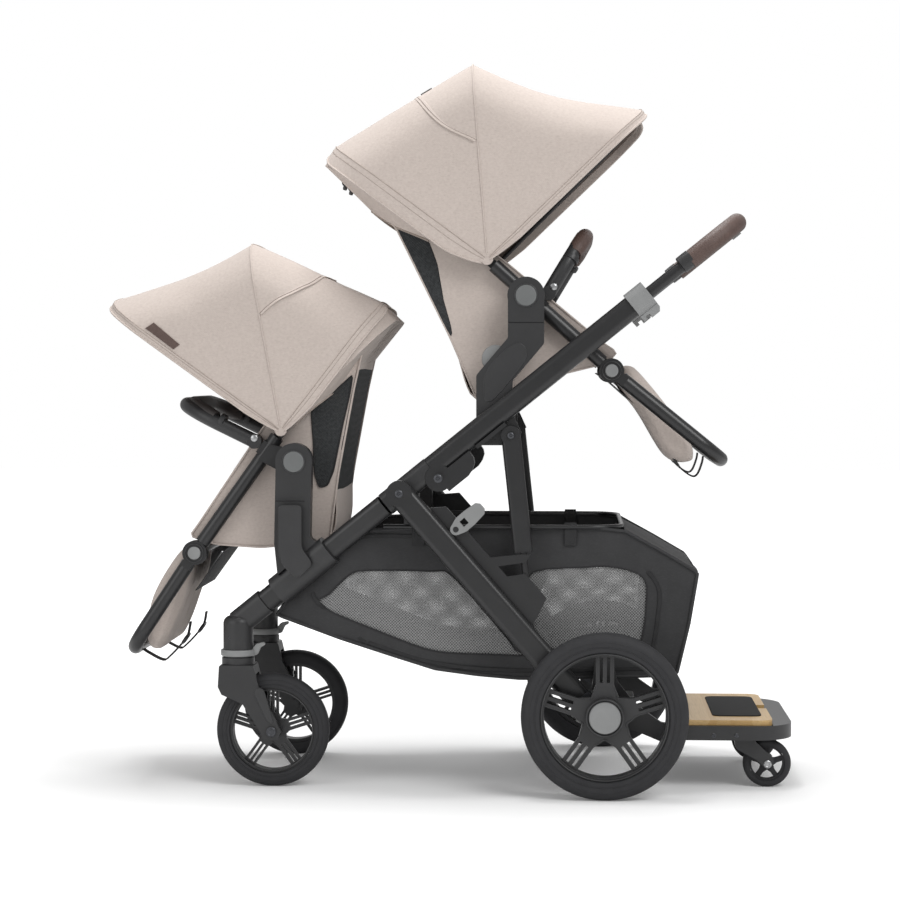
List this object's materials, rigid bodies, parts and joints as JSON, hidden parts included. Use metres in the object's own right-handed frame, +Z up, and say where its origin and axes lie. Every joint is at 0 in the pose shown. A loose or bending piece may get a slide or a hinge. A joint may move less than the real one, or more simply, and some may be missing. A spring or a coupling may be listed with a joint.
{
  "type": "twin stroller",
  "caption": "Tandem stroller with stacked reclining seats, folding sun canopies, bumper bars, open mesh basket, swivel front wheels, telescoping handle and folding ride-on board.",
  "frame": {"origin": "on the floor, under the middle of the whole stroller", "axes": "+X from the front wheels towards the rear wheels and the handle, +Z up, +Y square to both; the picture is seen from the -Y side"},
  "size_m": [1.2325, 0.65, 1.3049],
  "materials": {
    "frame_tube": "dark coated, satin",
    "dark_plastic": "dark, fine grain",
    "grey_plastic": "mid grey, satin",
    "leather": "brown, stitched",
    "fabric": "heathered greige weave",
    "basket_cloth": "dark ripstop with mesh windows",
    "tyre": "foam-filled rubber",
    "bamboo": "bamboo, clear coat",
    "steel": "axle steel, dark"
  },
  "bodies": {
    "chassis": {"front_tube_left": "frame_tube", "front_tube_right": "frame_tube", "front_crossbar": "frame_tube", "joint_castings": "dark_plastic", "caster_housings": "dark_plastic", "lower_adapters": "dark_plastic", "upper_adapters": "dark_plastic", "basket_fabric": "basket_cloth", "basket_rim": "steel"},
    "handle_frame": {"upper_tube_left": "frame_tube", "upper_tube_right": "frame_tube"},
    "handle": {"handle_bar": "frame_tube", "handle_grip": "leather"},
    "handle_release": {"handle_button": "grey_plastic"},
    "collars": {"fold_collars": "grey_plastic"},
    "rear_frame": {"rear_leg_left": "frame_tube", "rear_leg_right": "frame_tube", "rear_axle": "steel", "board_arms": "dark_plastic"},
    "brace_pair": {"braces": "frame_tube"},
    "brake": {"brake_pedal": "grey_plastic"},
    "latch": {"storage_latch": "grey_plastic"},
    "board": {"board_frame": "dark_plastic", "board_deck": "bamboo"},
    "rear_wheel_left": {"rear_tyre_left": "tyre", "rear_rim_left": "dark_plastic"},
    "fork_left": {"front_fork_left": "dark_plastic"},
    "front_wheel_left": {"front_tyre_left": "tyre", "front_rim_left": "dark_plastic"},
    "rear_wheel_right": {"rear_tyre_right": "tyre", "rear_rim_right": "dark_plastic"},
    "fork_right": {"front_fork_right": "dark_plastic"},
    "front_wheel_right": {"front_tyre_right": "tyre", "front_rim_right": "dark_plastic"},
    "board_swivel_left": {"board_caster_left": "dark_plastic"},
    "board_roller_left": {"board_wheel_left": "tyre"},
    "board_swivel_right": {"board_caster_right": "dark_plastic"},
    "board_roller_right": {"board_wheel_right": "tyre"},
    "upper_seat": {"upper_seat_frame": "frame_tube", "upper_seat_shell": "fabric", "upper_canopy_rear": "fabric"},
    "upper_leg_rest": {"upper_leg_rest_frame": "frame_tube", "upper_calf_pad": "fabric"},
    "upper_bumper": {"upper_bumper_bar": "leather"},
    "upper_mid_bow": {"upper_canopy_bow_mid": "dark_plastic"},
    "upper_front_bow": {"upper_canopy_bow_front": "dark_plastic", "upper_canopy_front": "fabric"},
    "upper_button_left": {"upper_hub_button_left": "grey_plastic"},
    "upper_button_right": {"upper_hub_button_right": "grey_plastic"},
    "lower_seat": {"lower_seat_frame": "frame_tube", "lower_seat_shell": "fabric", "lower_canopy_rear": "fabric"},
    "lower_leg_rest": {"lower_leg_rest_frame": "frame_tube", "lower_calf_pad": "fabric"},
    "lower_bumper": {"lower_bumper_bar": "leather"},
    "lower_mid_bow": {"lower_canopy_bow_mid": "dark_plastic"},
    "lower_front_bow": {"lower_canopy_bow_front": "dark_plastic", "lower_canopy_front": "fabric"},
    "lower_button_left": {"lower_hub_button_left": "grey_plastic"},
    "lower_button_right": {"lower_hub_button_right": "grey_plastic"}
  },
  "joints": [
    {"name": "frame_fold", "type": "hinge", "parent": "chassis", "child": "handle_frame", "pos_m": [-0.01521, 0, 0.55785], "axis": [0, 1, 0], "range_deg": [0, 60]},
    {"name": "rear_legs_fold", "type": "hinge", "parent": "chassis", "child": "rear_frame", "pos_m": [-0.08355, 0, 0.53114], "axis": [0, 1, 0], "range_deg": [0, 42.9]},
    {"name": "braces_fold", "type": "hinge", "parent": "handle_frame", "child": "brace_pair", "pos_m": [0.11173, 0, 0.63297], "axis": [0, 1, 0], "range_deg": [-22.1, 0]},
    {"name": "handle_extend", "type": "slide", "parent": "handle_frame", "child": "handle", "axis": [0.7793, 0, 0.6266], "range_m": [-0.05, 0.06]},
    {"name": "handle_release_press", "type": "slide", "parent": "handle", "child": "handle_release", "axis": [-0.6266, 0, 0.7793], "range_m": [0, 0.0025], "stiffness_N_per_m": 400, "springref_m": -0.001},
    {"name": "collars_slide", "type": "slide", "parent": "handle_frame", "child": "collars", "axis": [0.7793, 0, 0.6266], "range_m": [0, 0.012], "stiffness_N_per_m": 600, "springref_m": -0.006},
    {"name": "brake_press", "type": "hinge", "parent": "rear_frame", "child": "brake", "pos_m": [0.277, 0, 0.146], "axis": [0, 1, 0], "range_deg": [0, 15]},
    {"name": "storage_latch_turn", "type": "hinge", "parent": "rear_frame", "child": "latch", "pos_m": [0.01593, -0.263, 0.46805], "axis": [0, -1, 0], "range_deg": [0, 35]},
    {"name": "rear_wheel_spin_left", "type": "hinge", "parent": "rear_frame", "child": "rear_wheel_left", "pos_m": [0.277, -0.302, 0.146], "axis": [0, 1, 0], "continuous": true},
    {"name": "front_swivel_left", "type": "hinge", "parent": "chassis", "child": "fork_left", "pos_m": [-0.38, -0.182, 0.22], "axis": [0, 0, 1], "continuous": true},
    {"name": "front_wheel_spin_left", "type": "hinge", "parent": "fork_left", "child": "front_wheel_left", "pos_m": [-0.317, -0.182, 0.1015], "axis": [0, 1, 0], "continuous": true},
    {"name": "rear_wheel_spin_right", "type": "hinge", "parent": "rear_frame", "child": "rear_wheel_right", "pos_m": [0.277, 0.302, 0.146], "axis": [0, 1, 0], "continuous": true},
    {"name": "front_swivel_right", "type": "hinge", "parent": "chassis", "child": "fork_right", "pos_m": [-0.38, 0.182, 0.22], "axis": [0, 0, 1], "continuous": true},
    {"name": "front_wheel_spin_right", "type": "hinge", "parent": "fork_right", "child": "front_wheel_right", "pos_m": [-0.317, 0.182, 0.1015], "axis": [0, 1, 0], "continuous": true},
    {"name": "board_fold", "type": "hinge", "parent": "rear_frame", "child": "board", "pos_m": [0.395, 0, 0.108], "axis": [0, -1, 0], "range_deg": [0, 60]},
    {"name": "board_swivel_turn_left", "type": "hinge", "parent": "board", "child": "board_swivel_left", "pos_m": [0.529, -0.15, 0.0885], "axis": [0, 0, 1], "continuous": true},
    {"name": "board_wheel_spin_left", "type": "hinge", "parent": "board_swivel_left", "child": "board_roller_left", "pos_m": [0.57, -0.15, 0.043], "axis": [0, 1, 0], "continuous": true},
    {"name": "board_swivel_turn_right", "type": "hinge", "parent": "board", "child": "board_swivel_right", "pos_m": [0.529, 0.15, 0.0885], "axis": [0, 0, 1], "continuous": true},
    {"name": "board_wheel_spin_right", "type": "hinge", "parent": "board_swivel_right", "child": "board_roller_right", "pos_m": [0.57, 0.15, 0.043], "axis": [0, 1, 0], "continuous": true},
    {"name": "upper_seat_recline", "type": "hinge", "parent": "chassis", "child": "upper_seat", "pos_m": [0.138, 0, 0.88], "axis": [0, -1, 0], "range_deg": [0, 8]},
    {"name": "upper_leg_rest_raise", "type": "hinge", "parent": "upper_seat", "child": "upper_leg_rest", "pos_m": [0.29, 0, 0.747], "axis": [0, -1, 0], "range_deg": [0, 30]},
    {"name": "upper_bumper_turn", "type": "hinge", "parent": "upper_seat", "child": "upper_bumper", "pos_m": [0.17753, 0, 0.88542], "axis": [0, 1, 0], "range_deg": [0, 40]},
    {"name": "upper_canopy_fold", "type": "hinge", "parent": "upper_seat", "child": "upper_mid_bow", "pos_m": [0.068, 0, 0.946], "axis": [0, -1, 0], "range_deg": [0, 42], "deforming": ["upper_canopy_rear"]},
    {"name": "upper_canopy_front_fold", "type": "hinge", "parent": "upper_mid_bow", "child": "upper_front_bow", "pos_m": [0.068, 0, 0.946], "axis": [0, -1, 0], "range_deg": [0, 42.5], "deforming": ["upper_canopy_front"]},
    {"name": "upper_button_press_left", "type": "slide", "parent": "chassis", "child": "upper_button_left", "axis": [0, 1, 0], "range_m": [0, 0.0025], "stiffness_N_per_m": 400, "springref_m": -0.001},
    {"name": "upper_button_press_right", "type": "slide", "parent": "chassis", "child": "upper_button_right", "axis": [0, -1, 0], "range_m": [0, 0.0025], "stiffness_N_per_m": 400, "springref_m": -0.001},
    {"name": "lower_seat_recline", "type": "hinge", "parent": "chassis", "child": "lower_seat", "pos_m": [-0.275, 0, 0.585], "axis": [0, 1, 0], "range_deg": [0, 8]},
    {"name": "lower_leg_rest_raise", "type": "hinge", "parent": "lower_seat", "child": "lower_leg_rest", "pos_m": [-0.459, 0, 0.419], "axis": [0, 1, 0], "range_deg": [0, 30]},
    {"name": "lower_bumper_turn", "type": "hinge", "parent": "lower_seat", "child": "lower_bumper", "pos_m": [-0.35049, 0, 0.61976], "axis": [0, 1, 0], "range_deg": [0, 40]},
    {"name": "lower_canopy_fold", "type": "hinge", "parent": "lower_seat", "child": "lower_mid_bow", "pos_m": [-0.301, 0, 0.641], "axis": [0, 1, 0], "range_deg": [0, 34], "deforming": ["lower_canopy_rear"]},
    {"name": "lower_canopy_front_fold", "type": "hinge", "parent": "lower_mid_bow", "child": "lower_front_bow", "pos_m": [-0.301, 0, 0.641], "axis": [0, 1, 0], "range_deg": [0, 34.5], "deforming": ["lower_canopy_front"]},
    {"name": "lower_button_press_left", "type": "slide", "parent": "chassis", "child": "lower_button_left", "axis": [0, 1, 0], "range_m": [0, 0.0025], "stiffness_N_per_m": 400, "springref_m": -0.001},
    {"name": "lower_button_press_right", "type": "slide", "parent": "chassis", "child": "lower_button_right", "axis": [0, -1, 0], "range_m": [0, 0.0025], "stiffness_N_per_m": 400, "springref_m": -0.001}
  ],
  "couplings": [
    {"joint": "rear_legs_fold", "follows": "frame_fold", "ratio": 0.7071},
    {"joint": "braces_fold", "follows": "frame_fold", "ratio": -0.3605},
    {"joint": "upper_canopy_front_fold", "follows": "upper_canopy_fold", "ratio": 1},
    {"joint": "lower_canopy_front_fold", "follows": "lower_canopy_fold", "ratio": 1}
  ]
}
